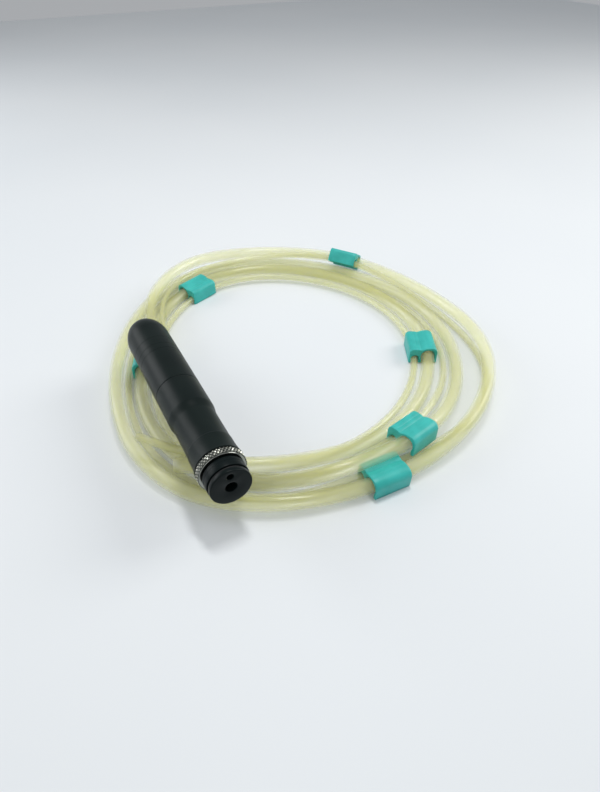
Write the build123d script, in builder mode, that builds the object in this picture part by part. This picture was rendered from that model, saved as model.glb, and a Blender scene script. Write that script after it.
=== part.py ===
from build123d import *
import math
import os

# Hand-held compressed-air suction pump with its loose twin hose.
# Frame: origin at the middle of the handpiece, on its axis.  +X runs along the
# handpiece towards the port end, +Z is up, the table is at z = TABLE_Z.

os.makedirs("parts", exist_ok=True)

# ---------------------------------------------------------------- dimensions
BODY_R = 12.5            # handpiece barrel, 25 mm diameter
TIP_X = -74.0            # end of the dome
DOME_X = -55.7           # where the dome starts
SEAM_X0, SEAM_X1 = -0.78, -0.52
SHOULDER_X0, SHOULDER_X1 = 20.3, 26.3
WAIST_R = 11.6
COLLAR_X = 47.3          # fine line in front of the flare
FLARE_X0, FLARE_X1 = 49.0, 59.3
FACE_X = 74.0            # port face
FLANGE_R = 10.5
LAND_R = 10.8
LAND_X0, LAND_X1 = 64.5, 70.3
GROOVE_X1 = 71.5
SLEEVE_BORE_R = 10.4
SPIGOT_R = 10.35
SPIGOT_X = -13.0
BODY_BORE_R = 9.0
NECK_R = 9.85
RING_X0, RING_X1 = 59.7, 63.7
RING_R = 12.6
RING_BORE_R = 9.9
SUCTION_R = 3.0          # 6 mm suction port
DRIVE_R = 1.75           # 3.5 mm drive-air port
DRIVE_Z = 6.7            # drive-air port above the suction port
THICK_R = 4.5            # 9 mm hose, 6 mm bore
THIN_R = 2.5             # 5 mm hose, 3 mm bore
CLIP_LEN = 21.5
TABLE_Z = -30.8

# ---------------------------------------------------------------- front sleeve
with BuildPart() as front_sleeve:
    with BuildSketch(Plane.XZ):
        with BuildLine():
            dome = EllipticalCenterArc((DOME_X, 0), abs(TIP_X - DOME_X), BODY_R, start_angle=90, arc_size=90)
            Polyline((DOME_X, BODY_R), (-41.6, BODY_R), (-41.4, BODY_R - 0.2), (-41.2, BODY_R),
                     (-34.5, BODY_R), (-34.3, BODY_R - 0.2), (-34.1, BODY_R),
                     (-29.4, BODY_R), (-29.2, BODY_R - 0.2), (-29.0, BODY_R),
                     (SEAM_X0 - 0.15, BODY_R), (SEAM_X0, BODY_R - 0.15), (SEAM_X0, SLEEVE_BORE_R),
                     (DOME_X - 3.0, SLEEVE_BORE_R))
            EllipticalCenterArc((DOME_X - 3.0, 0), 12.6, SLEEVE_BORE_R, start_angle=90, arc_size=90)
            Line((DOME_X - 15.6, 0), (TIP_X, 0))
        make_face()
    revolve(axis=Axis.X, revolution_arc=360)
front_sleeve.part.label = "front_sleeve"

# ---------------------------------------------------------------- rear body
with BuildPart() as rear_body:
    with BuildSketch(Plane.XZ):
        with BuildLine():
            Polyline((SPIGOT_X, BODY_BORE_R), (SPIGOT_X, SPIGOT_R - 0.4), (SPIGOT_X + 0.4, SPIGOT_R),
                     (-6.6, SPIGOT_R), (-6.6, SPIGOT_R - 0.9), (-5.0, SPIGOT_R - 0.9), (-5.0, SPIGOT_R),
                     (SEAM_X1, SPIGOT_R), (SEAM_X1, BODY_R - 0.15), (SEAM_X1 + 0.15, BODY_R), (SHOULDER_X0, BODY_R))
            Spline((SHOULDER_X0, BODY_R), (23.2, 12.12), (SHOULDER_X1, WAIST_R),
                   tangents=((1, 0), (1, -0.03)))
            Polyline((SHOULDER_X1, WAIST_R), (COLLAR_X, WAIST_R), (COLLAR_X + 0.2, WAIST_R + 0.2), (FLARE_X0, WAIST_R + 0.2))
            Spline((FLARE_X0, WAIST_R + 0.2), (54.5, WAIST_R + 0.32), (FLARE_X1 - 0.3, BODY_R),
                   tangents=((1, 0), (1, 0.25)))
            Polyline((FLARE_X1 - 0.3, BODY_R), (FLARE_X1, BODY_R - 0.15), (FLARE_X1, NECK_R), (LAND_X0, NECK_R), (LAND_X0, BODY_BORE_R),
                     (54.9, BODY_BORE_R), (54.9, 9.9), (53.0, 9.9), (53.0, BODY_BORE_R), (SPIGOT_X, BODY_BORE_R))
        make_face()
    revolve(axis=Axis.X, revolution_arc=360)
    # cross hole for the lock pin, under the turning ring
    with BuildSketch(Plane.XY.offset(-RING_BORE_R - 1)):
        with Locations((62.4, 0)):
            Circle(0.8)
    extrude(amount=3.0, mode=Mode.SUBTRACT)
rear_body.part.label = "rear_body"

# ---------------------------------------------------------------- turning ring
with BuildPart() as knurled_ring:
    with BuildSketch(Plane.XZ):
        with BuildLine():
            Polyline((RING_X0, RING_BORE_R), (RING_X0, RING_R - 0.4), (RING_X0 + 0.35, RING_R),
                     (63.0, RING_R), (63.35, 12.2), (RING_X1, 11.8), (RING_X1, RING_BORE_R), close=True)
        make_face()
    revolve(axis=Axis.X, revolution_arc=360)
knurled_ring.part.label = "knurled_ring"

with BuildPart() as ring_washer:
    with BuildSketch(Plane.YZ.offset(FLARE_X1)):
        Circle(11.6)
        Circle(RING_BORE_R, mode=Mode.SUBTRACT)
    extrude(amount=0.3)
ring_washer.part.label = "ring_washer"

# ---------------------------------------------------------------- port plug
PLUG_X0 = 50.0
SHANK_R = 8.98
with BuildPart() as port_plug:
    with BuildSketch(Plane.XZ):
        with BuildLine():
            Polyline((PLUG_X0, 0), (PLUG_X0, SHANK_R - 0.5), (PLUG_X0 + 0.5, SHANK_R),
                     (LAND_X0, SHANK_R), (LAND_X0, LAND_R - 0.3), (LAND_X0 + 0.3, LAND_R),
                     (66.8, LAND_R), (66.9, LAND_R - 0.12), (67.0, LAND_R),
                     (LAND_X1 - 0.2, LAND_R), (LAND_X1, LAND_R - 0.2), (LAND_X1, 8.9),
                     (GROOVE_X1, 8.9), (GROOVE_X1, FLANGE_R - 0.25), (GROOVE_X1 + 0.25, FLANGE_R),
                     (FACE_X - 0.5, FLANGE_R), (FACE_X, FLANGE_R - 0.5), (FACE_X, 0), close=True)
        make_face()
    revolve(axis=Axis.X, revolution_arc=360)
    with BuildSketch(Plane.YZ.offset(FACE_X)):
        Circle(SUCTION_R)
        with Locations((0, DRIVE_Z)):
            Circle(DRIVE_R)
    extrude(amount=-(FACE_X - PLUG_X0), mode=Mode.SUBTRACT)
    # seats for the two inner tubes
    with BuildSketch(Plane.YZ.offset(PLUG_X0)):
        Circle(3.5)
        with Locations((0, DRIVE_Z)):
            Circle(1.95)
    extrude(amount=8.0, mode=Mode.SUBTRACT)
    with BuildSketch(Plane.XY.offset(-RING_BORE_R - 1)):
        with Locations((62.4, 0)):
            Circle(0.8)
    extrude(amount=6.0, mode=Mode.SUBTRACT)
port_plug.part.label = "port_plug"

with BuildPart() as plug_o_ring:
    with BuildSketch(Plane.XZ):
        with Locations((0.5 * (LAND_X1 + GROOVE_X1), 8.92 + 0.58)):
            Circle(0.58)
    revolve(axis=Axis.X, revolution_arc=360)
plug_o_ring.part.label = "plug_o_ring"

with BuildPart() as shank_o_ring:
    with BuildSketch(Plane.XZ):
        with Locations((53.95, 9.45)):
            Circle(0.43)
    revolve(axis=Axis.X, revolution_arc=360)
shank_o_ring.part.label = "shank_o_ring"

with BuildPart() as seam_o_ring:
    with BuildSketch(Plane.XZ):
        with Locations((-5.8, SPIGOT_R - 0.88 + 0.45)):
            Circle(0.45)
    revolve(axis=Axis.X, revolution_arc=360)
seam_o_ring.part.label = "seam_o_ring"

with BuildPart() as lock_pin:
    with BuildSketch(Plane.XY.offset(-9.7)):
        with Locations((62.4, 0)):
            Circle(0.78)
    extrude(amount=4.5)
lock_pin.part.label = "lock_pin"

with BuildPart() as inlet_screen:
    with BuildSketch(Plane.YZ.offset(57.35)):
        Circle(3.48)
        with PolarLocations(1.7, 6):
            Circle(0.5, mode=Mode.SUBTRACT)
        Circle(0.5, mode=Mode.SUBTRACT)
    extrude(amount=0.6)
inlet_screen.part.label = "inlet_screen"

# ---------------------------------------------------------------- inner tubes
with BuildPart() as suction_tube:
    with BuildSketch(Plane.YZ.offset(-17.0)):
        Circle(3.48)
        Circle(2.5, mode=Mode.SUBTRACT)
    extrude(amount=57.3 - (-17.0))
suction_tube.part.label = "suction_tube"

with BuildPart() as drive_tube:
    with BuildSketch(Plane.YZ.offset(-17.0)):
        with Locations((0, DRIVE_Z)):
            Circle(1.93)
            Circle(1.3, mode=Mode.SUBTRACT)
    extrude(amount=58.0 - (-17.0))
drive_tube.part.label = "drive_tube"

# ---------------------------------------------------------------- ejector
EJ_X0, EJ_X1 = -38.0, -13.0
with BuildPart() as ejector_body:
    with BuildSketch(Plane.YZ.offset(EJ_X0)):
        Circle(10.05)
    extrude(amount=EJ_X1 - EJ_X0)
    with BuildSketch(Plane.YZ.offset(EJ_X1)):
        Circle(BODY_BORE_R - 0.02)
    extrude(amount=6.0)
    # valve chamber on the axis, open towards the port end
    with BuildSketch(Plane.YZ.offset(-7.0)):
        Circle(3.5)
    extrude(amount=-26.0, mode=Mode.SUBTRACT)
    # drive passage, nozzle seat and suction chamber in line with the drive port
    with BuildSketch(Plane.YZ.offset(-7.0)):
        with Locations((0, DRIVE_Z)):
            Circle(1.95)
    extrude(amount=-12.0, mode=Mode.SUBTRACT)
    with BuildSketch(Plane.YZ.offset(-19.0)):
        with Locations((0, DRIVE_Z)):
            Circle(2.3)
    extrude(amount=-19.0, mode=Mode.SUBTRACT)
    # passage from the valve chamber up to the suction chamber
    with BuildSketch(Plane.XY.offset(0.5)):
        with Locations((-29.5, 0)):
            Circle(1.5)
    extrude(amount=DRIVE_Z - 0.5, mode=Mode.SUBTRACT)
ejector_body.part.label = "ejector_body"

with BuildPart() as drive_nozzle:
    with BuildSketch(Plane.XZ.offset(0)):
        with BuildLine():
            Polyline((-17.2, DRIVE_Z + 1.0), (-17.2, DRIVE_Z + 1.93), (-19.0, DRIVE_Z + 1.93), (-19.0, DRIVE_Z + 2.28),
                     (-22.0, DRIVE_Z + 2.28), (-22.6, DRIVE_Z + 1.9), (-29.0, DRIVE_Z + 0.75), (-29.0, DRIVE_Z + 0.35),
                     (-20.0, DRIVE_Z + 1.0), close=True)
        make_face()
    revolve(axis=Axis((0, 0, DRIVE_Z), (1, 0, 0)), revolution_arc=360)
drive_nozzle.part.label = "drive_nozzle"

with BuildPart() as mixing_tube:
    with BuildSketch(Plane.XZ):
        with BuildLine():
            Polyline((-31.5, DRIVE_Z + 1.6), (-31.5, DRIVE_Z + 2.28), (-60.5, DRIVE_Z + 2.28), (-60.5, DRIVE_Z + 1.7),
                     (-42.0, DRIVE_Z + 0.8), (-36.0, DRIVE_Z + 0.8), close=True)
        make_face()
    revolve(axis=Axis((0, 0, DRIVE_Z), (1, 0, 0)), revolution_arc=360)
mixing_tube.part.label = "mixing_tube"

# ---------------------------------------------------------------- check valve
with BuildPart() as valve_seat:
    with BuildSketch(Plane.YZ.offset(-19.5)):
        Circle(3.48)
        Circle(1.6, mode=Mode.SUBTRACT)
    extrude(amount=2.3)
valve_seat.part.label = "valve_seat"

BALL_R = 2.4
BALL_X = -19.5 - math.sqrt(BALL_R ** 2 - 1.6 ** 2) - 0.02
with BuildPart(Plane((BALL_X, 0, 0))) as valve_ball:
    Sphere(BALL_R)
valve_ball.part.label = "valve_ball"

# coil spring between the ball and the blind end of the valve chamber
SPRING_X0 = -33.0 + 0.45
SPRING_X1 = BALL_X - BALL_R - 0.45
with BuildPart() as valve_spring:
    with BuildLine() as coil_line:
        Helix(pitch=(SPRING_X1 - SPRING_X0) / 4.0, height=SPRING_X1 - SPRING_X0, radius=2.6,
              center=(SPRING_X0, 0, 0), direction=(1, 0, 0))
    with BuildSketch(Plane(origin=coil_line.line @ 0, z_dir=coil_line.line % 0)):
        Circle(0.35)
    sweep()
valve_spring.part.label = "valve_spring"

# ---------------------------------------------------------------- silencer
with BuildPart() as silencer_disc:
    with BuildSketch(Plane.YZ.offset(EJ_X0)):
        Circle(10.0)
        with Locations((0, DRIVE_Z)):
            Circle(2.3, mode=Mode.SUBTRACT)
        with PolarLocations(7.4, 5, start_angle=-162, angular_range=288):
            Circle(1.1, mode=Mode.SUBTRACT)
    extrude(amount=-1.5)
silencer_disc.part.label = "silencer_disc"

with BuildPart() as silencer_sleeve:
    with BuildSketch(Plane.YZ.offset(EJ_X0 - 1.5)):
        Circle(9.9)
        with Locations((0, DRIVE_Z)):
            Circle(2.3, mode=Mode.SUBTRACT)
    extrude(amount=-18.5)
silencer_sleeve.part.label = "silencer_sleeve"

with BuildPart() as silencer_nut:
    with BuildSketch(Plane.YZ.offset(-58.0)):
        with Locations((0, DRIVE_Z)):
            RegularPolygon(3.05, 6, rotation=30)
            Circle(2.3, mode=Mode.SUBTRACT)
    extrude(amount=-1.6)
silencer_nut.part.label = "silencer_nut"

# ---------------------------------------------------------------- hoses
THICK_ROUTE = [
    (29.99, -14.64, -19.63), (45.97, 6.97, -16.22), (58.24, 44.10, -19.70), (59.15, 89.65, -25.34),
    (41.80, 132.63, -26.50), (9.02, 164.63, -25.58), (-32.34, 180.98, -25.18), (-76.69, 178.65, -24.65),
    (-117.82, 158.58, -23.94), (-147.78, 124.04, -23.71), (-157.20, 80.60, -24.18), (-142.38, 41.41, -25.98),
    (-110.35, 13.71, -26.41), (-68.54, -5.78, -25.18), (-23.48, -18.32, -24.46), (19.55, -11.93, -25.55),
    (55.35, 13.85, -26.78), (74.43, 53.55, -17.15), (75.01, 98.21, -15.93), (58.71, 138.52, -22.69),
    (28.86, 172.14, -26.37), (-11.31, 193.48, -26.14), (-55.83, 197.76, -25.70), (-98.83, 185.65, -26.23),
    (-137.28, 160.32, -26.27), (-165.49, 124.21, -26.26), (-174.02, 80.46, -26.25), (-160.71, 38.64, -26.28),
    (-128.21, 5.94, -26.20), (-85.82, -16.86, -24.82), (-39.74, -29.94, -23.82), (6.62, -31.91, -24.50),
    (47.61, -15.30, -26.13), (74.59, 20.03, -23.69), (84.87, 65.00, -25.42), (83.42, 111.49, -24.31),
    (69.01, 153.64, -20.04), (39.94, 187.21, -19.13), (0.57, 208.80, -21.46), (-44.84, 214.57, -25.01),
    (-90.13, 206.00, -24.85), (-129.55, 185.18, -22.03), (-160.88, 152.63, -22.43), (-179.49, 110.89, -21.44),
    (-176.91, 67.63, -16.97), (-152.93, 33.82, -16.17), (-118.47, 13.97, -16.91), (-81.08, 8.03, -15.74),
]
THIN_ROUTE = [
    (2.41, -26.74, -17.32), (25.45, -9.64, -17.30), (44.97, 23.15, -23.11), (54.45, 64.81, -27.69),
    (45.45, 107.46, -28.41), (20.76, 143.84, -27.85), (-14.88, 167.78, -27.37), (-56.17, 174.43, -27.13),
    (-97.29, 162.88, -26.93), (-131.27, 135.19, -26.37), (-148.74, 96.25, -26.07), (-142.07, 56.37, -27.36),
    (-114.74, 25.63, -28.03), (-75.48, 6.09, -27.32), (-33.79, -8.92, -27.14), (7.57, -8.91, -28.03),
    (43.74, 12.34, -28.45), (66.47, 48.05, -25.11), (68.39, 89.36, -18.88), (54.35, 129.16, -21.33),
    (26.56, 163.78, -26.09), (-12.06, 185.69, -27.73), (-55.32, 190.14, -27.91), (-97.25, 178.10, -28.36),
    (-133.21, 153.67, -28.01), (-158.51, 118.65, -27.10), (-165.87, 76.71, -27.42), (-151.38, 38.44, -28.31),
    (-119.82, 9.87, -28.21), (-81.14, -11.16, -28.30), (-38.18, -23.42, -28.20), (6.82, -24.33, -27.57),
    (46.71, -6.43, -27.92), (71.02, 28.04, -28.48), (76.53, 72.77, -25.69), (74.39, 117.83, -27.24),
    (63.74, 159.30, -28.44), (37.48, 189.95, -27.90), (-1.96, 205.02, -28.30), (-46.42, 206.47, -28.23),
    (-90.14, 197.45, -24.22), (-128.06, 176.99, -18.56), (-152.14, 144.45, -18.18), (-166.14, 104.29, -20.26),
    (-165.65, 65.09, -20.89), (-145.14, 36.51, -19.22), (-110.76, 20.26, -17.64), (-70.53, 13.63, -13.86),
]


def arc_radii(points):
    """One radius per corner: 0.45 of the shorter run over the tangent of half the turn."""
    vs = [Vector(*p) for p in points]
    out = []
    for a, b, c in zip(vs, vs[1:], vs[2:]):
        r1, r2 = b - a, c - b
        half = math.radians(r1.get_angle(r2)) / 2
        out.append(0.45 * min(r1.length, r2.length) / math.tan(half))
    return out


thick_radii = arc_radii(THICK_ROUTE)
thin_radii = arc_radii(THIN_ROUTE)

with BuildPart() as thick_hose:
    with BuildLine() as thick_line:
        FilletPolyline(*THICK_ROUTE, radius=thick_radii)
    with BuildSketch(Plane(origin=thick_line.line @ 0, z_dir=thick_line.line % 0)):
        Circle(THICK_R)
    sweep()
thick_hose.part.label = "thick_hose"

with BuildPart() as thin_hose:
    with BuildLine() as thin_line:
        FilletPolyline(*THIN_ROUTE, radius=thin_radii)
    with BuildSketch(Plane(origin=thin_line.line @ 0, z_dir=thin_line.line % 0)):
        Circle(THIN_R)
    sweep()
thin_hose.part.label = "thin_hose"

# ---------------------------------------------------------------- hose clips
# Each clip is a snap-on saddle with a wide arch for the thick hose and a small
# arch for the thin hose: (name, centre on the thick hose, direction from the
# thick to the thin arch, direction along the hoses)
CLIPS = [
    ("hose_clip_1", (-3.54, 169.16, -25.47), (-0.4474, -0.8943, -0.0023), (-0.8943, 0.4473, 0.0105)),
    ("hose_clip_2", (-148.60, 58.11, -25.18), (0.9262, 0.3771, -0.0026), (0.3768, -0.9257, -0.0338)),
    ("hose_clip_3", (-72.68, -3.27, -25.33), (0.3698, 0.9291, -0.0021), (0.9290, -0.3697, 0.0153)),
    ("hose_clip_4", (70.29, 108.34, -17.92), (-0.9538, -0.3003, -0.0064), (-0.2989, 0.9510, -0.0790)),
    ("hose_clip_5", (84.18, 80.91, -25.00), (-0.9953, 0.0015, 0.0965), (0.0020, 1.0000, 0.0051)),
    ("hose_clip_6", (-130.66, 182.17, -22.38), (0.5382, -0.6165, 0.5747), (-0.7748, -0.6303, 0.0494)),
]

clip_parts = {}
for clip_name, centre, across, along in CLIPS:
    base = Plane(origin=centre, x_dir=across, z_dir=along)
    with BuildPart() as clip:
        with BuildSketch(base.offset(-CLIP_LEN / 2)):
            with BuildLine():
                l1 = Polyline((-6.0, -5.2), (-6.0, 2.3))
                a1 = SagittaArc((-6.0, 2.3), (-2.0, 6.0), 0.95)
                l2 = Spline((-2.0, 6.0), (0.8, 6.1), (5.0, 5.2), (8.2, 5.4), (9.6, 5.2),
                            tangents=((1, 0.1), (1, -0.35)))
                a2 = SagittaArc((9.6, 5.2), (12.26, 2.0), 0.7)
                l3 = Polyline((12.26, 2.0), (12.26, -5.2), (10.46, -5.2), (10.46, -3.3))
                l4 = Polyline((10.46, -3.3), (6.06, -3.3), (6.06, -5.2), (4.0, -5.2), (4.0, -2.2), (-4.0, -2.2), (-4.0, -5.2), (-6.0, -5.2))
            make_face()
            Circle(THICK_R + 0.1, mode=Mode.SUBTRACT)
            with Locations((8.26, -2.0)):
                Circle(THIN_R + 0.1, mode=Mode.SUBTRACT)
        extrude(amount=CLIP_LEN)
    clip.part.label = clip_name
    clip_parts[clip_name] = clip.part

# ---------------------------------------------------------------- export
pieces = [front_sleeve, rear_body, knurled_ring, ring_washer, port_plug, plug_o_ring, shank_o_ring, seam_o_ring,
          lock_pin, inlet_screen, suction_tube, drive_tube, ejector_body, drive_nozzle, mixing_tube, valve_seat,
          valve_ball, valve_spring, silencer_disc, silencer_sleeve, silencer_nut, thick_hose, thin_hose]
for piece in pieces:
    export_step(piece.part, "parts/" + piece.part.label + ".step")
for clip_name, clip_part in clip_parts.items():
    export_step(clip_part, "parts/" + clip_name + ".step")

for name, line, radius, radii, solid in (("thick_hose", thick_line.line, THICK_R, thick_radii, thick_hose.part),
                                         ("thin_hose", thin_line.line, THIN_R, thin_radii, thin_hose.part)):
    section = math.pi * radius ** 2
    length = sum(edge.length for edge in line.edges())
    print(name, "length %.1f mm" % length, "volume / (section x length) = %.4f" % (solid.volume / (section * length)))
    print(name, "arc radii mm:", " ".join("%.0f" % r for r in radii))
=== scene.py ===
import bpy, bmesh, math, random
from mathutils import Vector, Matrix
import numpy as np


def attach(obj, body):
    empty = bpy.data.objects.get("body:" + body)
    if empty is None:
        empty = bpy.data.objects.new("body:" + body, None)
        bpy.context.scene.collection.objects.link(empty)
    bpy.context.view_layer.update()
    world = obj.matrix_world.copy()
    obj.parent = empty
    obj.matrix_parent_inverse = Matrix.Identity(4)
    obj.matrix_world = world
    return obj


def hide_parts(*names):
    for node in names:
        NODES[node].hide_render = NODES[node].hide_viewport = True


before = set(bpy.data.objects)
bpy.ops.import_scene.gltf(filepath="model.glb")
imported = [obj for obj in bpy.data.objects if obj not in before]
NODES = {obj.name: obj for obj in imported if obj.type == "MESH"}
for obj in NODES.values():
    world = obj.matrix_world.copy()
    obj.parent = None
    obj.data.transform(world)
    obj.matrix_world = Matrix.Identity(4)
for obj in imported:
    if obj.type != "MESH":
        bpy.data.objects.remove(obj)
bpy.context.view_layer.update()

MM = 0.001
TABLE_Z = -0.0308

# ------------------------------------------------------------------ camera
cam_data = bpy.data.cameras.new("camera")
cam = bpy.data.objects.new("camera", cam_data)
bpy.context.scene.collection.objects.link(cam)
ELEV = math.radians(40.0)
AZ = math.radians(27.22)
cam.location = (0.24968, -0.05534, 0.20653)
fwd = Vector((-math.cos(ELEV) * math.cos(AZ), math.cos(ELEV) * math.sin(AZ), -math.sin(ELEV)))
right = Vector((math.sin(AZ), math.cos(AZ), 0.0))
up = right.cross(fwd)
cam.matrix_world = Matrix.Translation(cam.location) @ Matrix((right, up, -fwd)).transposed().to_4x4()
cam_data.sensor_width = 36.0
cam_data.lens = 597.5 * 36.0 / 792.0
cam_data.clip_start = 0.01
cam_data.clip_end = 20.0
bpy.context.scene.camera = cam
bpy.context.scene.view_settings.view_transform = "Standard"


# ------------------------------------------------------------------ helpers
def link(mesh_name, verts, faces, smooth=True):
    me = bpy.data.meshes.new(mesh_name)
    me.from_pydata([tuple(v) for v in verts], [], faces)
    me.update()
    ob = bpy.data.objects.new(mesh_name, me)
    bpy.context.scene.collection.objects.link(ob)
    bm = bmesh.new()
    bm.from_mesh(me)
    bmesh.ops.recalc_face_normals(bm, faces=bm.faces)
    bm.to_mesh(me)
    bm.free()
    for p in me.polygons:
        p.use_smooth = smooth
    return ob


def sharp_by_angle(ob, deg):
    me = ob.data
    bm = bmesh.new()
    bm.from_mesh(me)
    lim = math.radians(deg)
    for e in bm.edges:
        e.smooth = not (len(e.link_faces) == 2 and e.calc_face_angle(0.0) > lim)
    bm.to_mesh(me)
    bm.free()


def lathe(name, profile, n=160, closed=True, axis_z=0.0):
    """Turned piece about the x axis; profile is a list of (x, r) in mm. Points with r = 0 close the axis."""
    verts, rings = [], []
    for x, r in profile:
        if r <= 1e-6:
            rings.append([len(verts)])
            verts.append((x * MM, 0.0, axis_z * MM))
        else:
            rings.append(list(range(len(verts), len(verts) + n)))
            for k in range(n):
                a = 2 * math.pi * k / n
                verts.append((x * MM, r * MM * math.sin(a), (axis_z + r * math.cos(a)) * MM))
    faces = []
    pairs = list(zip(rings, rings[1:]))
    if closed:
        pairs.append((rings[-1], rings[0]))
    for a, b in pairs:
        if len(a) == 1 and len(b) == 1:
            continue
        for k in range(n):
            j = (k + 1) % n
            if len(a) == 1:
                faces.append((a[0], b[k], b[j]))
            elif len(b) == 1:
                faces.append((a[k], b[0], a[j]))
            else:
                faces.append((a[k], b[k], b[j], a[j]))
    ob = link(name, verts, faces)
    sharp_by_angle(ob, 28)
    return ob


def arc(cx, cr, rx, rr, a0, a1, n):
    return [(cx + rx * math.cos(math.radians(a0 + (a1 - a0) * i / n)), cr + rr * math.sin(math.radians(a0 + (a1 - a0) * i / n))) for i in range(n + 1)]


def smoothstep(t):
    return t * t * (3 - 2 * t)


# ------------------------------------------------------------------ materials
def new_mat(name):
    m = bpy.data.materials.new(name)
    m.use_nodes = True
    nt = m.node_tree
    b = nt.nodes["Principled BSDF"]
    return m, nt, b


def add(nt, kind, **kw):
    n = nt.nodes.new(kind)
    for k, v in kw.items():
        setattr(n, k, v)
    return n


def ramp(nt, stops):
    r = add(nt, "ShaderNodeValToRGB")
    el = r.color_ramp.elements
    while len(el) < len(stops):
        el.new(0.5)
    for e, (p, c) in zip(el, stops):
        e.position = p
        e.color = c if len(c) == 4 else (*c, 1.0)
    return r


def coords(nt, scale=(1, 1, 1)):
    tc = add(nt, "ShaderNodeTexCoord")
    mp = add(nt, "ShaderNodeMapping")
    mp.inputs["Scale"].default_value = scale
    nt.links.new(tc.outputs["Object"], mp.inputs["Vector"])
    return mp.outputs["Vector"]


def noise(nt, vec, scale, detail=4.0, rough=0.5):
    n = add(nt, "ShaderNodeTexNoise")
    n.inputs["Scale"].default_value = scale
    n.inputs["Detail"].default_value = detail
    n.inputs["Roughness"].default_value = rough
    nt.links.new(vec, n.inputs["Vector"])
    return n


def bump(nt, height, strength, distance, normal=None):
    b = add(nt, "ShaderNodeBump")
    b.inputs["Strength"].default_value = strength
    b.inputs["Distance"].default_value = distance
    nt.links.new(height, b.inputs["Height"])
    if normal is not None:
        nt.links.new(normal, b.inputs["Normal"])
    return b


def satin(name, lo, hi, r_lo, r_hi, scale=900.0, bump_d=0.00002, metallic=0.0, spec=0.5, coat=0.0, turned=0.0):
    """Fine-grained satin surface: soft colour patches, fine grain in the bump, broken-up gloss, and faint turning marks."""
    m, nt, b = new_mat(name)
    v = coords(nt)
    big = noise(nt, v, 60.0, 3.0)
    cr = ramp(nt, [(0.35, lo), (0.65, hi)])
    nt.links.new(big.outputs["Fac"], cr.inputs["Fac"])
    nt.links.new(cr.outputs["Color"], b.inputs["Base Color"])
    fine = noise(nt, v, scale, 5.0, 0.6)
    rr = add(nt, "ShaderNodeMapRange")
    rr.inputs["To Min"].default_value = r_lo
    rr.inputs["To Max"].default_value = r_hi
    mixn = add(nt, "ShaderNodeMath", operation="ADD")
    nt.links.new(big.outputs["Fac"], mixn.inputs[0])
    nt.links.new(fine.outputs["Fac"], mixn.inputs[1])
    half = add(nt, "ShaderNodeMath", operation="MULTIPLY")
    half.inputs[1].default_value = 0.5
    nt.links.new(mixn.outputs[0], half.inputs[0])
    rr.inputs["From Min"].default_value = 0.3
    rr.inputs["From Max"].default_value = 0.7
    nt.links.new(half.outputs[0], rr.inputs["Value"])
    nt.links.new(rr.outputs["Result"], b.inputs["Roughness"])
    bp = bump(nt, fine.outputs["Fac"], 0.35, bump_d)
    last = bp
    if turned > 0:
        vx = coords(nt, (1.0, 0.02, 0.02))
        marks = noise(nt, vx, 2600.0, 2.0, 0.5)
        last = bump(nt, marks.outputs["Fac"], turned, 0.00002, bp.outputs["Normal"])
    nt.links.new(last.outputs["Normal"], b.inputs["Normal"])
    b.inputs["Metallic"].default_value = metallic
    b.inputs["Specular IOR Level"].default_value = spec
    if coat > 0:
        b.inputs["Coat Weight"].default_value = coat
        b.inputs["Coat Roughness"].default_value = 0.25
    return m


MAT_BODY = satin("black_anodised", (0.0035, 0.0080, 0.0075), (0.0055, 0.0110, 0.0100), 0.34, 0.44, 1100.0, 0.000010, 0.0, 0.13, 0.0, 0.05)
MAT_PLUG = satin("black_plug", (0.0025, 0.0060, 0.0060), (0.0040, 0.0085, 0.0085), 0.30, 0.40, 1400.0, 0.000008, 0.0, 0.12, 0.0, 0.06)
MAT_RUBBER = satin("seal_rubber", (0.010, 0.010, 0.010), (0.016, 0.016, 0.016), 0.55, 0.75, 1600.0, 0.00003, 0.0, 0.35)
MAT_STEEL = satin("turned_steel", (0.50, 0.51, 0.52), (0.64, 0.65, 0.66), 0.22, 0.38, 1500.0, 0.000010, 1.0, 0.5, 0.0, 0.25)
MAT_ALLOY = satin("machined_alloy", (0.60, 0.61, 0.62), (0.72, 0.73, 0.74), 0.28, 0.44, 1200.0, 0.000012, 1.0, 0.5, 0.0, 0.25)
MAT_BRASS = satin("turned_brass", (0.66, 0.49, 0.22), (0.80, 0.64, 0.34), 0.22, 0.38, 1200.0, 0.000010, 1.0, 0.5, 0.0, 0.25)
MAT_NYLON = satin("tube_nylon", (0.66, 0.67, 0.63), (0.78, 0.79, 0.74), 0.35, 0.5, 900.0, 0.00001, 0.0, 0.45)


def porous(name):
    m, nt, b = new_mat(name)
    v = coords(nt)
    vo = add(nt, "ShaderNodeTexVoronoi")
    vo.inputs["Scale"].default_value = 1800.0
    nt.links.new(v, vo.inputs["Vector"])
    cr = ramp(nt, [(0.0, (0.86, 0.85, 0.78)), (1.0, (0.58, 0.57, 0.50))])
    nt.links.new(vo.outputs["Distance"], cr.inputs["Fac"])
    nt.links.new(cr.outputs["Color"], b.inputs["Base Color"])
    b.inputs["Roughness"].default_value = 0.85
    bp = bump(nt, vo.outputs["Distance"], 0.8, 0.00015)
    bp.invert = True
    nt.links.new(bp.outputs["Normal"], b.inputs["Normal"])
    return m


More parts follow.
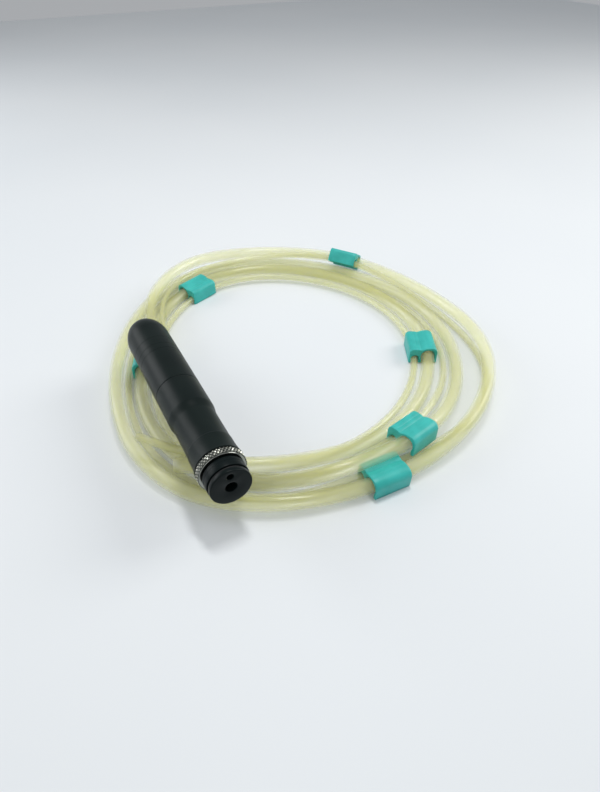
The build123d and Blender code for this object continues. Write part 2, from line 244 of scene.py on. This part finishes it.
def knurl_steel(name):
    """Bright points, painted shade in the bottoms of the knurl; the mask is the distance from the x axis."""
    m, nt, b = new_mat(name)
    v = coords(nt, (0.0, 1.0, 1.0))
    ln = add(nt, "ShaderNodeVectorMath", operation="LENGTH")
    nt.links.new(v, ln.inputs[0])
    mr = add(nt, "ShaderNodeMapRange")
    mr.inputs["From Min"].default_value = 0.01190
    mr.inputs["From Max"].default_value = 0.01262
    nt.links.new(ln.outputs["Value"], mr.inputs["Value"])
    # painted shade: the knurl bottoms are coloured near-black so the grooves read dark, while the points keep a bright
    # steel colour
    cr = ramp(nt, [(0.0, (0.30, 0.31, 0.28)), (0.22, (0.030, 0.034, 0.030)), (0.50, (0.06, 0.065, 0.058)), (0.80, (0.66, 0.66, 0.58))])
    nt.links.new(mr.outputs["Result"], cr.inputs["Fac"])
    nt.links.new(cr.outputs["Color"], b.inputs["Base Color"])
    fine = noise(nt, coords(nt), 1500.0, 4.0)
    rr = add(nt, "ShaderNodeMapRange")
    rr.inputs["To Min"].default_value = 0.12
    rr.inputs["To Max"].default_value = 0.30
    nt.links.new(fine.outputs["Fac"], rr.inputs["Value"])
    nt.links.new(rr.outputs["Result"], b.inputs["Roughness"])
    b.inputs["Metallic"].default_value = 1.0
    return m


MAT_KNURL = knurl_steel("knurled_steel_painted_groove_shade")
MAT_POROUS = porous("porous_pe")


def teal():
    m, nt, b = new_mat("clip_teal")
    v = coords(nt)
    big = noise(nt, v, 140.0, 3.0)
    cr = ramp(nt, [(0.3, (0.030, 0.410, 0.368)), (0.7, (0.045, 0.490, 0.445))])
    nt.links.new(big.outputs["Fac"], cr.inputs["Fac"])
    nt.links.new(cr.outputs["Color"], b.inputs["Base Color"])
    fine = noise(nt, v, 1500.0, 4.0)
    rr = add(nt, "ShaderNodeMapRange")
    rr.inputs["To Min"].default_value = 0.32
    rr.inputs["To Max"].default_value = 0.48
    nt.links.new(fine.outputs["Fac"], rr.inputs["Value"])
    nt.links.new(rr.outputs["Result"], b.inputs["Roughness"])
    bp = bump(nt, fine.outputs["Fac"], 0.3, 0.00003)
    nt.links.new(bp.outputs["Normal"], b.inputs["Normal"])
    b.inputs["Subsurface Weight"].default_value = 0.25
    b.inputs["Subsurface Radius"].default_value = (0.0008, 0.0016, 0.0015)
    b.inputs["Subsurface Scale"].default_value = 1.0
    b.inputs["Specular IOR Level"].default_value = 0.4
    return m


MAT_CLIP = teal()


def hose_pvc(name):
    """Slightly yellowed clear hose: part see-through, part milky, glossy outside."""
    m, nt, b = new_mat(name)
    v = coords(nt)
    big = noise(nt, v, 35.0, 3.0)
    cr = ramp(nt, [(0.3, (0.94, 0.94, 0.42)), (0.7, (0.97, 0.98, 0.50))])
    nt.links.new(big.outputs["Fac"], cr.inputs["Fac"])
    nt.links.new(cr.outputs["Color"], b.inputs["Base Color"])
    fine = noise(nt, v, 420.0, 3.0)
    rr = add(nt, "ShaderNodeMapRange")
    rr.inputs["To Min"].default_value = 0.12
    rr.inputs["To Max"].default_value = 0.24
    nt.links.new(fine.outputs["Fac"], rr.inputs["Value"])
    nt.links.new(rr.outputs["Result"], b.inputs["Roughness"])
    wob = noise(nt, v, 90.0, 2.0)
    bp = bump(nt, wob.outputs["Fac"], 0.08, 0.0001)
    nt.links.new(bp.outputs["Normal"], b.inputs["Normal"])
    b.inputs["IOR"].default_value = 1.46
    b.inputs["Alpha"].default_value = 0.21
    b.inputs["Subsurface Weight"].default_value = 0.6
    b.inputs["Subsurface Radius"].default_value = (0.006, 0.006, 0.0035)
    b.inputs["Subsurface Scale"].default_value = 1.0
    b.inputs["Specular IOR Level"].default_value = 0.7
    b.inputs["Coat Weight"].default_value = 1.0
    b.inputs["Coat Roughness"].default_value = 0.04
    return m


MAT_HOSE = hose_pvc("hose_pvc")

# ------------------------------------------------------------------ hoses
THICK_ROUTE = [
    (0.02999, -0.01464, -0.01963), (0.04597, 0.00697, -0.01622), (0.05824, 0.04410, -0.01970), (0.05915, 0.08965, -0.02534),
    (0.04180, 0.13263, -0.02650), (0.00902, 0.16463, -0.02558), (-0.03234, 0.18098, -0.02518), (-0.07669, 0.17865, -0.02465),
    (-0.11782, 0.15858, -0.02394), (-0.14778, 0.12404, -0.02371), (-0.15720, 0.08060, -0.02418), (-0.14238, 0.04141, -0.02598),
    (-0.11035, 0.01371, -0.02641), (-0.06854, -0.00578, -0.02518), (-0.02348, -0.01832, -0.02446), (0.01955, -0.01193, -0.02555),
    (0.05535, 0.01385, -0.02678), (0.07443, 0.05355, -0.01715), (0.07501, 0.09821, -0.01593), (0.05871, 0.13852, -0.02269),
    (0.02886, 0.17214, -0.02637), (-0.01131, 0.19348, -0.02614), (-0.05583, 0.19776, -0.02570), (-0.09883, 0.18565, -0.02623),
    (-0.13728, 0.16032, -0.02627), (-0.16549, 0.12421, -0.02626), (-0.17402, 0.08046, -0.02625), (-0.16071, 0.03864, -0.02628),
    (-0.12821, 0.00594, -0.02620), (-0.08582, -0.01686, -0.02482), (-0.03974, -0.02994, -0.02382), (0.00662, -0.03191, -0.02450),
    (0.04761, -0.01530, -0.02613), (0.07459, 0.02003, -0.02369), (0.08487, 0.06500, -0.02542), (0.08342, 0.11149, -0.02431),
    (0.06901, 0.15364, -0.02004), (0.03994, 0.18721, -0.01913), (0.00057, 0.20880, -0.02146), (-0.04484, 0.21457, -0.02501),
    (-0.09013, 0.20600, -0.02485), (-0.12955, 0.18518, -0.02203), (-0.16088, 0.15263, -0.02243), (-0.17949, 0.11089, -0.02144),
    (-0.17691, 0.06763, -0.01697), (-0.15293, 0.03382, -0.01617), (-0.11847, 0.01397, -0.01691), (-0.08108, 0.00803, -0.01574),
]
THIN_ROUTE = [
    (0.00241, -0.02674, -0.01732), (0.02545, -0.00964, -0.01730), (0.04497, 0.02315, -0.02311), (0.05445, 0.06481, -0.02769),
    (0.04545, 0.10746, -0.02841), (0.02076, 0.14384, -0.02785), (-0.01488, 0.16778, -0.02737), (-0.05617, 0.17443, -0.02713),
    (-0.09729, 0.16288, -0.02693), (-0.13127, 0.13519, -0.02637), (-0.14874, 0.09625, -0.02607), (-0.14207, 0.05637, -0.02736),
    (-0.11474, 0.02563, -0.02803), (-0.07548, 0.00609, -0.02732), (-0.03379, -0.00892, -0.02714), (0.00757, -0.00891, -0.02803),
    (0.04374, 0.01234, -0.02845), (0.06647, 0.04805, -0.02511), (0.06839, 0.08936, -0.01888), (0.05435, 0.12916, -0.02133),
    (0.02656, 0.16378, -0.02609), (-0.01206, 0.18569, -0.02773), (-0.05532, 0.19014, -0.02791), (-0.09725, 0.17810, -0.02836),
    (-0.13321, 0.15367, -0.02801), (-0.15851, 0.11865, -0.02710), (-0.16587, 0.07671, -0.02742), (-0.15138, 0.03844, -0.02831),
    (-0.11982, 0.00987, -0.02821), (-0.08114, -0.01116, -0.02830), (-0.03818, -0.02342, -0.02820), (0.00682, -0.02433, -0.02757),
    (0.04671, -0.00643, -0.02792), (0.07102, 0.02804, -0.02848), (0.07653, 0.07277, -0.02569), (0.07439, 0.11783, -0.02724),
    (0.06374, 0.15930, -0.02844), (0.03748, 0.18995, -0.02790), (-0.00196, 0.20502, -0.02830), (-0.04642, 0.20647, -0.02823),
    (-0.09014, 0.19745, -0.02422), (-0.12806, 0.17699, -0.01856), (-0.15214, 0.14445, -0.01818), (-0.16614, 0.10429, -0.02026),
    (-0.16565, 0.06509, -0.02089), (-0.14514, 0.03651, -0.01922), (-0.11076, 0.02026, -0.01764), (-0.07053, 0.01363, -0.01386),
]


def spline_points(name, route, resolution=14):
    """Points of the smooth NURBS line that has the route's points as its control points."""
    cu = bpy.data.curves.new(name, "CURVE")
    cu.dimensions = "3D"
    cu.resolution_u = resolution
    sp = cu.splines.new("NURBS")
    sp.points.add(len(route) - 1)
    for p, (x, y, z) in zip(sp.points, route):
        p.co = (x, y, z, 1.0)
    sp.order_u = 3
    sp.use_endpoint_u = True
    ob = bpy.data.objects.new(name, cu)
    bpy.context.scene.collection.objects.link(ob)
    dg = bpy.context.evaluated_depsgraph_get()
    dg.update()
    me = bpy.data.meshes.new_from_object(ob.evaluated_get(dg))
    pts = [v.co.copy() for v in me.vertices]
    bpy.data.objects.remove(ob)
    bpy.data.curves.remove(cu)
    bpy.data.meshes.remove(me)
    return pts


def hose(name, pts, r_out, r_in, sides=40):
    """Hollow tube along pts, with square-cut, slightly rounded ends."""
    verts, faces = [], []
    t0 = (pts[1] - pts[0]).normalized()
    n = t0.cross(Vector((0, 0, 1))).normalized()
    tangents = []
    for i in range(len(pts)):
        a = pts[max(i - 1, 0)]
        b = pts[min(i + 1, len(pts) - 1)]
        tangents.append((b - a).normalized())
    frames = []
    for i, t in enumerate(tangents):
        n = (n - t * n.dot(t)).normalized()
        frames.append((n.copy(), t.cross(n).normalized()))

    def ring(c, fr, r):
        base = len(verts)
        for k in range(sides):
            a = 2 * math.pi * k / sides
            verts.append(c + (fr[0] * math.cos(a) + fr[1] * math.sin(a)) * r)
        return base

    edge = 0.00025
    outer = []
    first, last = pts[0], pts[-1]
    outer.append(ring(first, frames[0], r_out - edge))
    outer.append(ring(first + tangents[0] * edge * 0.35, frames[0], r_out - edge * 0.3))
    outer.append(ring(first + tangents[0] * edge, frames[0], r_out))
    for i in range(1, len(pts) - 1):
        outer.append(ring(pts[i], frames[i], r_out))
    outer.append(ring(last - tangents[-1] * edge, frames[-1], r_out))
    outer.append(ring(last - tangents[-1] * edge * 0.35, frames[-1], r_out - edge * 0.3))
    outer.append(ring(last, frames[-1], r_out - edge))
    inner = []
    inner.append(ring(last, frames[-1], r_in))
    for i in range(len(pts) - 2, 0, -1):
        inner.append(ring(pts[i], frames[i], r_in))
    inner.append(ring(first, frames[0], r_in))
    loop = outer + inner
    for a, b in zip(loop, loop[1:] + loop[:1]):
        for k in range(sides):
            j = (k + 1) % sides
            faces.append((a + k, a + j, b + j, b + k))
    ob = link(name, verts, faces)
    sharp_by_angle(ob, 50)
    return ob


thick_pts = spline_points("thick_line", THICK_ROUTE)
thin_pts = spline_points("thin_line", THIN_ROUTE)
thick = hose("thick_hose_tube", thick_pts, 0.0045, 0.0030)
thin = hose("thin_hose_tube", thin_pts, 0.0025, 0.0015)
for ob in (thick, thin):
    ob.data.materials.append(MAT_HOSE)
    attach(ob, "hose_set")
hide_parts("thick_hose")
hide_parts("thin_hose")

# ------------------------------------------------------------------ clips
CLIPS = [
    ("hose_clip_1", (-3.54, 169.16, -25.47), (-0.4474, -0.8943, -0.0023), (-0.8943, 0.4473, 0.0105)),
    ("hose_clip_2", (-148.60, 58.11, -25.18), (0.9262, 0.3771, -0.0026), (0.3768, -0.9257, -0.0338)),
    ("hose_clip_3", (-72.68, -3.27, -25.33), (0.3698, 0.9291, -0.0021), (0.9290, -0.3697, 0.0153)),
    ("hose_clip_4", (70.29, 108.34, -17.92), (-0.9538, -0.3003, -0.0064), (-0.2989, 0.9510, -0.0790)),
    ("hose_clip_5", (84.18, 80.91, -25.00), (-0.9953, 0.0015, 0.0965), (0.0020, 1.0000, 0.0051)),
    ("hose_clip_6", (-130.66, 182.17, -22.38), (0.5382, -0.6165, 0.5747), (-0.7748, -0.6303, 0.0494)),
]


def arc_pts(cx, cy, r, a0, a1, n):
    return [(cx + r * math.cos(math.radians(a0 + (a1 - a0) * i / n)), cy + r * math.sin(math.radians(a0 + (a1 - a0) * i / n))) for i in range(n + 1)]


def clip_profile():
    """Closed outline in mm: wide arch about (0, 0), small arch about (8.26, -2)."""
    R, r = 4.6, 2.6
    p = []
    # outside, from the wide side's foot up and over to the small side's foot
    p += [(-5.75, -5.2), (-6.0, -4.9), (-6.0, -2.0), (-6.0, 0.8)]
    p += arc_pts(-1.9, 2.0, 4.1, 174, 96, 10)
    p += [(-1.2, 6.12), (0.2, 6.1), (0.55, 5.94), (0.9, 6.03), (2.4, 5.62), (3.6, 5.16), (4.3, 4.88), (4.6, 4.76), (4.9, 4.90), (5.6, 5.08), (6.9, 5.30), (7.25, 5.16), (7.6, 5.34), (8.8, 5.38)]
    p += arc_pts(9.36, 2.5, 2.9, 82, 4, 8)
    p += [(12.26, 0.5), (12.26, -2.0), (12.26, -4.9), (12.0, -5.2), (10.75, -5.2), (10.5, -4.95)]
    # small arch
    p += [(10.48, -4.2)]
    a = math.degrees(math.asin(-1.3 / r))
    p += arc_pts(8.26, -2.0, r, a, 180 - a, 16)
    p += [(6.04, -4.2), (6.0, -4.95), (5.75, -5.2), (4.3, -5.2), (4.05, -4.95)]
    # wide arch
    p += [(4.0, -3.4)]
    a = math.degrees(math.asin(-2.27 / R))
    p += arc_pts(0.0, 0.0, R, a, 180 - a, 26)
    p += [(-4.0, -3.4), (-4.05, -4.95), (-4.3, -5.2)]
    out = []
    for q in p:
        if not out or math.dist(q, out[-1]) > 0.05:
            out.append(q)
    return out


def inset(poly, d):
    """Moves each corner of a clockwise outline inwards by d."""
    n = len(poly)
    area = sum(poly[i][0] * poly[(i + 1) % n][1] - poly[(i + 1) % n][0] * poly[i][1] for i in range(n)) / 2
    s = 1.0 if area > 0 else -1.0
    res = []
    for i in range(n):
        (ax, ay), (bx, by), (cx, cy) = poly[i - 1], poly[i], poly[(i + 1) % n]
        u = Vector((bx - ax, by - ay)).normalized()
        v = Vector((cx - bx, cy - by)).normalized()
        n1, n2 = Vector((-u.y, u.x)) * s, Vector((-v.y, v.x)) * s
        m = n1 + n2
        m = m / max(m.length_squared, 0.6) * 2
        res.append((bx + m.x * d, by + m.y * d))
    return res


PROFILE = clip_profile()


def make_clip(name, centre, across, along, seed):
    rnd = random.Random(seed)
    w = Vector(along).normalized()
    u = (Vector(across) - w * Vector(across).dot(w)).normalized()
    v = w.cross(u)
    c = Vector(centre) * MM
    half = 10.75
    steps = [(-half, 0.34), (-half + 0.07, 0.17), (-half + 0.2, 0.05), (-half + 0.36, 0.0)]
    steps += [(-half + 0.36 + (2 * half - 0.72) * i / 6, 0.0) for i in range(1, 6)]
    steps += [(half - 0.36, 0.0), (half - 0.2, 0.05), (half - 0.07, 0.17), (half, 0.34)]
    verts, faces, n = [], [], len(PROFILE)
    for z, d in steps:
        for x, y in inset(PROFILE, d):
            verts.append(c + (u * x + v * y + w * z) * MM)
    for s in range(len(steps) - 1):
        for k in range(n):
            j = (k + 1) % n
            faces.append((s * n + k, s * n + j, (s + 1) * n + j, (s + 1) * n + k))
    faces.append(tuple(range(n)))
    faces.append(tuple(range((len(steps) - 1) * n, len(steps) * n))[::-1])
    ob = link(name + "_body", verts, faces)
    sharp_by_angle(ob, 40)
    ob.data.materials.append(MAT_CLIP)
    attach(ob, "hose_set")
    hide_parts(name)
    return ob


clips = [make_clip(*row, i) for i, row in enumerate(CLIPS)]

# ------------------------------------------------------------------ handpiece: sleeve
R0 = 12.5
prof = [(-74.0, 0.0)]
prof += arc(-55.7, 0.0, 18.3, R0, 180, 90, 48)[1:]
for gx in (-41.4, -34.3, -29.2):
    prof += [(gx - 0.9, R0), (gx - 0.3, R0), (gx - 0.14, R0), (gx - 0.11, R0 - 0.02), (gx - 0.05, R0 - 0.09), (gx + 0.05, R0 - 0.09), (gx + 0.11, R0 - 0.02), (gx + 0.14, R0), (gx + 0.3, R0), (gx + 0.9, R0)]
prof += [(-20.0, R0), (-10.0, R0), (-1.6, R0), (-1.0, R0), (-0.93, R0 - 0.01), (-0.84, R0 - 0.05), (-0.78, R0 - 0.15), (-0.78, 10.6), (-0.9, 10.45), (-1.1, 10.4)]
prof += [(-30.0, 10.4), (-58.7, 10.4)]
inner = arc(-58.7, 0.0, 12.6, 10.4, 90, 180, 30)[1:]
prof += inner[:-1] + [(-71.3, 0.0)]
sleeve = lathe("front_sleeve_shell", prof, 192, closed=False)
sleeve.data.materials.append(MAT_BODY)
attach(sleeve, "sleeve")
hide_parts("front_sleeve")

# ------------------------------------------------------------------ handpiece: rear body
prof = [(-13.0, 9.0), (-13.0, 9.95), (-12.6, 10.35)]
# fine screw thread on the spigot
x = -12.3
while x < -7.4:
    prof += [(x, 10.33), (x + 0.25, 10.08), (x + 0.45, 10.08), (x + 0.7, 10.33)]
    x += 0.75
prof += [(-6.6, 10.35), (-6.6, 9.45), (-5.0, 9.45), (-5.0, 10.35), (-0.7, 10.35), (-0.52, 10.5), (-0.52, R0 - 0.15), (-0.46, R0 - 0.05), (-0.37, R0 - 0.01), (-0.3, R0), (0.3, R0),
         (10.0, R0), (19.9, R0)]
# rolled shoulder down to the waist
for i in range(0, 15):
    t = i / 14
    prof.append((20.3 + 6.0 * t, 11.6 + 0.9 * (1 - smoothstep(t) * 0.55 - t * 0.45)))
prof += [(36.0, 11.6), (47.0, 11.6), (47.25, 11.66), (47.4, 11.78), (47.6, 11.8), (49.0, 11.8)]
for i in range(1, 19):
    t = i / 18
    prof.append((49.0 + 10.0 * t, 11.8 + 0.70 * t ** 2.6))
prof += [(59.18, 12.49), (59.28, 12.40), (59.3, 12.25), (59.3, 9.95), (59.4, 9.85), (64.5, 9.85), (64.5, 9.0), (54.9, 9.0), (54.9, 9.9), (53.0, 9.9), (53.0, 9.0)]
rear = lathe("rear_body_shell", prof, 192, closed=True)
rear.data.materials.append(MAT_BODY)
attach(rear, "handpiece")
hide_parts("rear_body")


# ------------------------------------------------------------------ knurled ring
def knurl(name, n=42, x0=59.74, x1=63.4, rows=1.6, rb=12.10, depth=0.52, sub_a=8, sub_x=24):
    verts, faces = [], []
    cols = n * sub_a
    stations = []
    # front edge, knurl band, then the plain bevel, then inside
    xs = [x0 + (x1 - x0) * i / sub_x for i in range(sub_x + 1)]
    pitch_x = (x1 - x0) / rows
    for i, x in enumerate(xs):
        edge = max(0.0, min(1.0, min(x - x0, x1 - x) / 0.25))
        row = []
        for k in range(cols):
            u = k / sub_a
            p = u + (x - x0) / pitch_x
            q = u - (x - x0) / pitch_x
            # two crossing sets of v-grooves leave four-sided points between them
            gp = abs((p % 1.0) - 0.5) * 2
            gq = abs((q % 1.0) - 0.5) * 2
            row.append(rb + depth * min(1.0, 1.15 * (1 - max(gp, gq))) * edge)
        stations.append((x, row))
    tail = [(63.2, 12.06), (63.4, 12.0), (63.62, 11.86), (63.7, 11.7), (63.7, 10.1), (63.55, 9.9), (59.9, 9.9), (59.7, 10.1), (59.7, 11.9), (59.7, 12.02)]
    for x, r in tail:
        stations.append((x, [r] * cols))
    for x, row in stations:
        for k in range(cols):
            a = 2 * math.pi * k / cols
            r = row[k]
            verts.append((x * MM, r * MM * math.sin(a), r * MM * math.cos(a)))
    m = len(stations)
    for s in range(m):
        t = (s + 1) % m
        for k in range(cols):
            j = (k + 1) % cols
            faces.append((s * cols + k, t * cols + k, t * cols + j, s * cols + j))
    ob = link(name, verts, faces)
    sharp_by_angle(ob, 18)
    return ob


ring = knurl("knurled_ring_body")
ring.data.materials.append(MAT_KNURL)
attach(ring, "ring")
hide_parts("knurled_ring")


# ------------------------------------------------------------------ port plug
def port_plug():
    n = 160
    prof = [(50.0, 4.4), (50.0, 8.48), (50.5, 8.98), (64.5, 8.98), (64.5, 10.5), (64.58, 10.68), (64.8, 10.8), (66.72, 10.8), (66.82, 10.70), (66.98, 10.70), (67.08, 10.8),
            (69.95, 10.8), (70.18, 10.74), (70.3, 10.6), (70.3, 8.9), (71.5, 8.9), (71.5, 10.25), (71.58, 10.42), (71.75, 10.5), (73.45, 10.5), (73.68, 10.45), (73.86, 10.32), (73.96, 10.12), (74.0, 9.9)]
    verts, faces, rings = [], [], []
    for x, r in prof:
        rings.append(len(verts))
        for k in range(n):
            a = 2 * math.pi * k / n
            verts.append((x * MM, r * MM * math.sin(a), r * MM * math.cos(a)))
    for a, b in zip(rings, rings[1:]):
        for k in range(n):
            j = (k + 1) % n
            faces.append((a + k, b + k, b + j, a + j))
    ob = link("port_plug_body", verts, faces)
    me = ob.data
    # face with the two port mouths, and the bores behind them
    bm = bmesh.new()
    bm.from_mesh(me)

    def hole_ring(x, r, z0, m=72):
        return [bm.verts.new((x * MM, r * MM * math.sin(2 * math.pi * k / m), (z0 + r * math.cos(2 * math.pi * k / m)) * MM)) for k in range(m)]

    def bridge(a, b):
        for k in range(len(a)):
            j = (k + 1) % len(a)
            bm.faces.new((a[k], b[k], b[j], a[j]))

    def cap(x, outer, holes):
        es = []
        for loop in [outer] + holes:
            for k in range(len(loop)):
                e = bm.edges.get((loop[k], loop[(k + 1) % len(loop)]))
                if e is None:
                    e = bm.edges.new((loop[k], loop[(k + 1) % len(loop)]))
                es.append(e)
        bmesh.ops.triangle_fill(bm, edges=es, use_beauty=True, use_dissolve=False)

    bm.verts.ensure_lookup_table()
    outer_front = [bm.verts[rings[-1] + k] for k in range(n)]
    outer_back = [bm.verts[rings[0] + k] for k in range(n)]
    front_holes, back_holes = [], []
    for r, seat, z0 in ((3.0, 3.5, 0.0), (1.75, 1.95, 6.7)):
        stack = [hole_ring(74.0, r + 0.28, z0), hole_ring(73.93, r + 0.12, z0), hole_ring(73.75, r, z0), hole_ring(58.0, r, z0), hole_ring(58.0, seat, z0), hole_ring(50.0, seat, z0)]
        for a, b in zip(stack, stack[1:]):
            bridge(a, b)
        front_holes.append(stack[0])
        back_holes.append(stack[-1])
    cap(74.0, outer_front, front_holes)
    cap(50.0, outer_back, back_holes)
    bmesh.ops.recalc_face_normals(bm, faces=bm.faces)
    bm.to_mesh(me)
    bm.free()
    for p in me.polygons:
        p.use_smooth = True
    sharp_by_angle(ob, 26)
    return ob


plug = port_plug()
plug.data.materials.append(MAT_PLUG)
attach(plug, "handpiece")
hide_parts("port_plug")

# ------------------------------------------------------------------ carried-over inner pieces
for node, mat in {
    "ring_washer": MAT_STEEL, "plug_o_ring": MAT_RUBBER, "shank_o_ring": MAT_RUBBER, "seam_o_ring": MAT_RUBBER,
    "lock_pin": MAT_STEEL, "inlet_screen": MAT_STEEL, "suction_tube": MAT_NYLON, "drive_tube": MAT_STEEL,
    "ejector_body": MAT_ALLOY, "drive_nozzle": MAT_BRASS, "mixing_tube": MAT_BRASS, "valve_seat": MAT_BRASS,
    "valve_ball": MAT_STEEL, "valve_spring": MAT_STEEL, "silencer_disc": MAT_ALLOY, "silencer_sleeve": MAT_POROUS,
    "silencer_nut": MAT_BRASS,
}.items():
    ob = NODES[node]
    if ob.material_slots:
        for s in ob.material_slots:
            s.material = mat
    else:
        ob.data.materials.append(mat)

# ------------------------------------------------------------------ floor and light
def floor():
    me = bpy.data.meshes.new("floor")
    s = 1.6
    me.from_pydata([(-s, -s, TABLE_Z), (s, -s, TABLE_Z), (s, s, TABLE_Z), (-s, s, TABLE_Z)], [], [(0, 1, 2, 3)])
    ob = bpy.data.objects.new("floor", me)
    bpy.context.scene.collection.objects.link(ob)
    m, nt, b = new_mat("pale_table")
    v = coords(nt)
    big = noise(nt, v, 3.0, 2.0)
    cr = ramp(nt, [(0.3, (0.735, 0.765, 0.785)), (0.7, (0.765, 0.790, 0.805))])
    nt.links.new(big.outputs["Fac"], cr.inputs["Fac"])
    nt.links.new(cr.outputs["Color"], b.inputs["Base Color"])
    b.inputs["Roughness"].default_value = 0.55
    b.inputs["Specular IOR Level"].default_value = 0.25
    me.materials.append(m)
    return ob


floor()

world = bpy.data.worlds.new("world")
world.use_nodes = True
bg = world.node_tree.nodes["Background"]
bg.inputs["Color"].default_value = (0.93, 0.96, 1.0, 1.0)
bg.inputs["Strength"].default_value = 0.42
bpy.context.scene.world = world


def area(name, loc, target, size, power, color=(1, 1, 1)):
    ld = bpy.data.lights.new(name, "AREA")
    ld.shape = "RECTANGLE"
    ld.size, ld.size_y = size
    ld.energy = power
    ld.color = color
    ob = bpy.data.objects.new(name, ld)
    bpy.context.scene.collection.objects.link(ob)
    d = Vector(target) - Vector(loc)
    ob.location = loc
    ob.rotation_euler = d.to_track_quat("-Z", "Y").to_euler()
    return ob


def seen_from_camera(r, f, z):
    """Point r to the right of and f behind the coil's middle as the camera sees it, z above the table."""
    flat = Vector((fwd.x, fwd.y, 0)).normalized()
    p = Vector((-0.02, 0.085, TABLE_Z)) + right * r + flat * f
    p.z = TABLE_Z + z
    return tuple(p)


MID = seen_from_camera(0, 0, 0)
area("key", seen_from_camera(0.95, 0.35, 0.70), MID, (0.6, 0.6), 6.0, (1.0, 0.99, 0.97))
area("top", seen_from_camera(0.06, 0.10, 0.90), MID, (0.22, 0.07), 3.2, (1.0, 1.0, 1.0))
area("left", seen_from_camera(-1.00, 0.30, 0.42), MID, (0.8, 0.5), 4.0, (0.96, 0.98, 1.0))

area("front", seen_from_camera(-0.45, -0.95, 0.85), MID, (1.0, 0.8), 1.8, (1.0, 1.0, 1.0))

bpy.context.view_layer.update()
